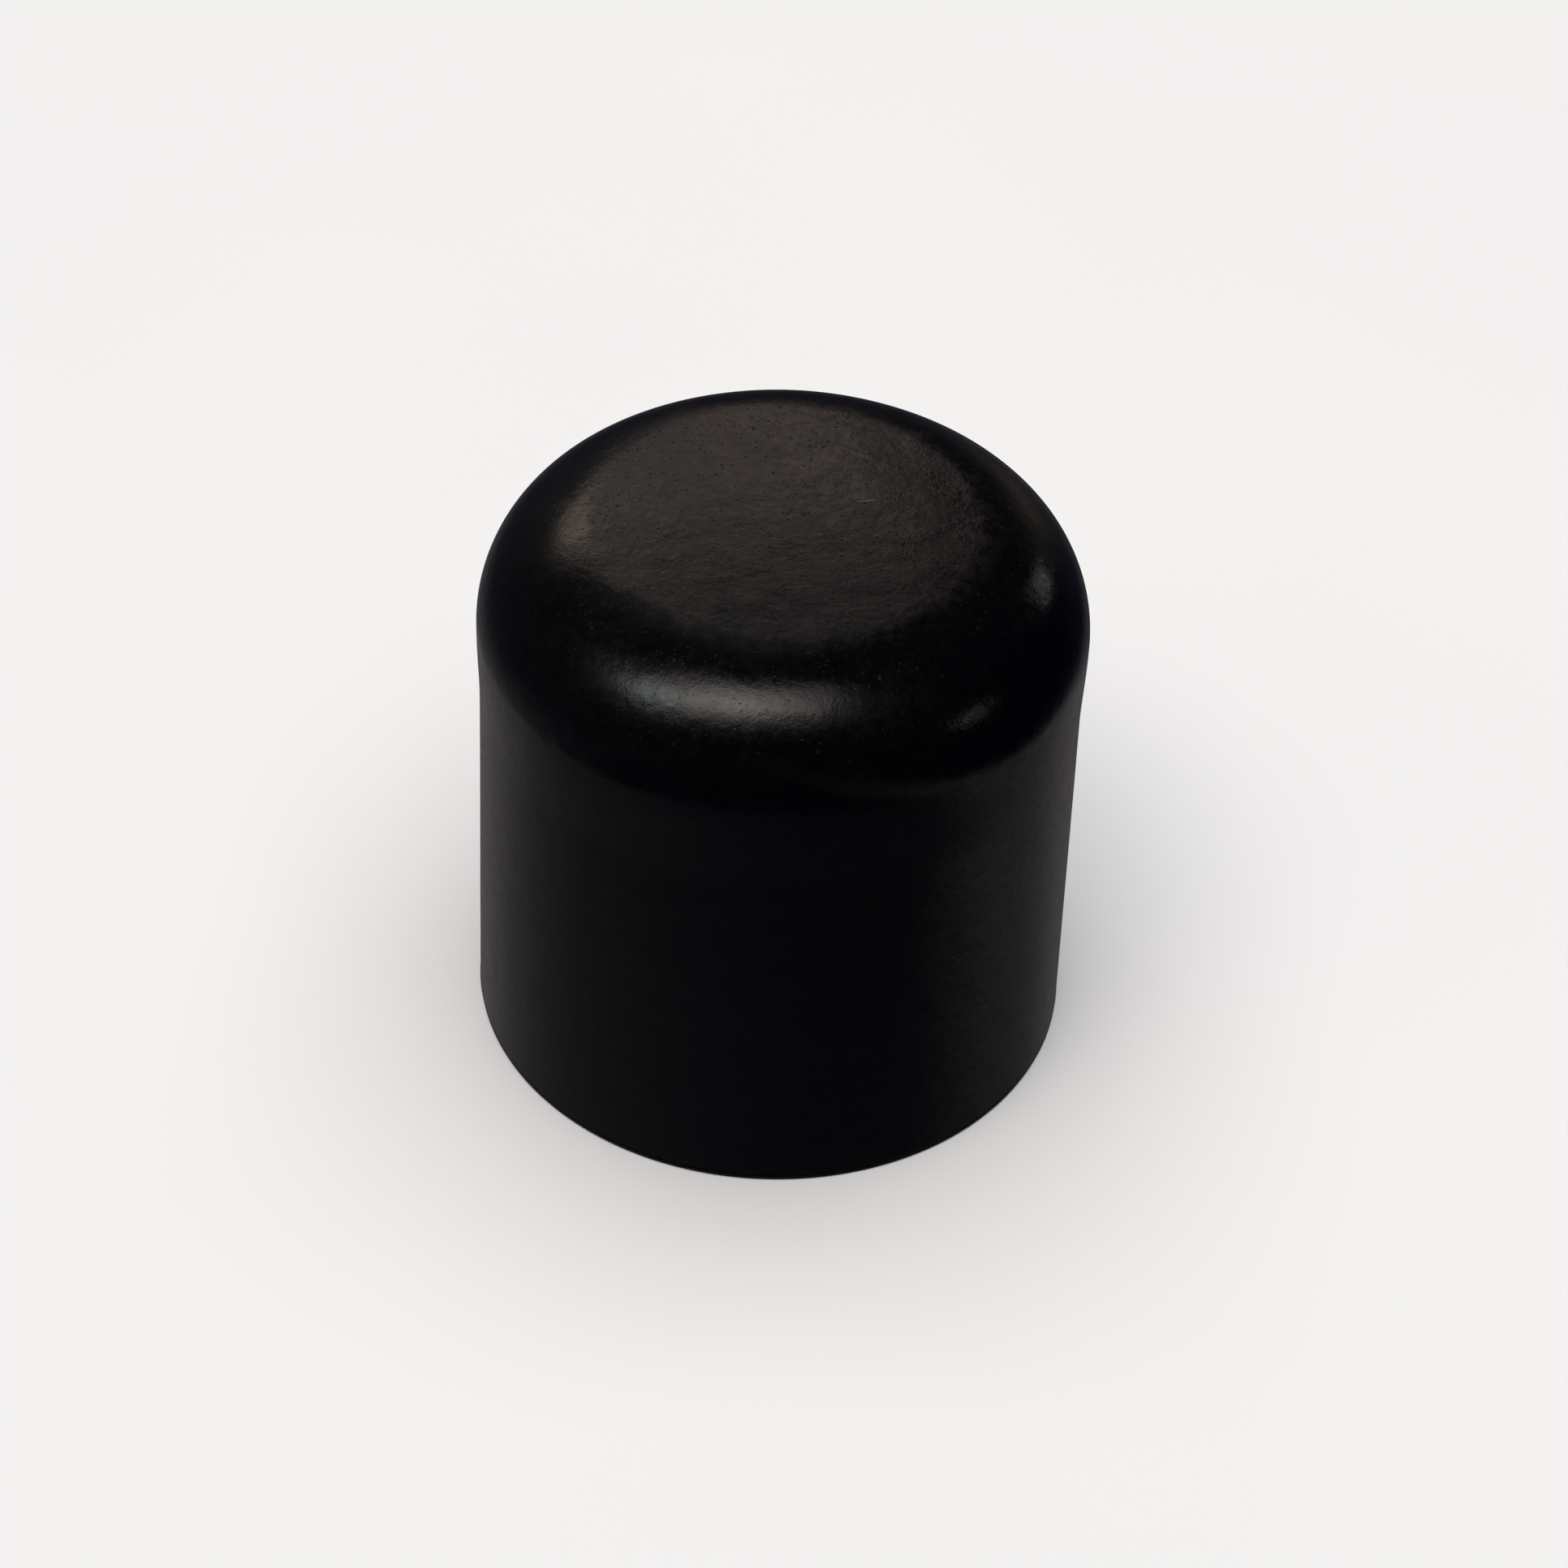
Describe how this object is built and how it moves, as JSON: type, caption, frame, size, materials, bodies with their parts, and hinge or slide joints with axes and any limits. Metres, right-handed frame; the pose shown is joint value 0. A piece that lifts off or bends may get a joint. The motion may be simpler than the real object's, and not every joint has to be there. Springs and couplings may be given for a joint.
{
  "type": "pipe cap",
  "caption": "Slip-on rubber pipe cap: round cup with an almost flat closed end, a large round shoulder, a slightly flared skirt, a blind pipe bore and a steel backing disc inside.",
  "frame": {"origin": "centre of the open mouth, in the plane of the rim that the cap stands on", "axes": "+Z along the cap's axis, from the mouth to the closed end; the cap is round, so X and Y are free"},
  "size_m": [0.0572, 0.0572, 0.0558],
  "materials": {
    "moulded_rubber": "satin black, fine moulded grain",
    "zinc_plated_steel": "bright zinc plating, slightly dulled"
  },
  "bodies": {
    "root": {"cap_body": "moulded_rubber", "backing_disc": "zinc_plated_steel"}
  },
  "joints": []
}
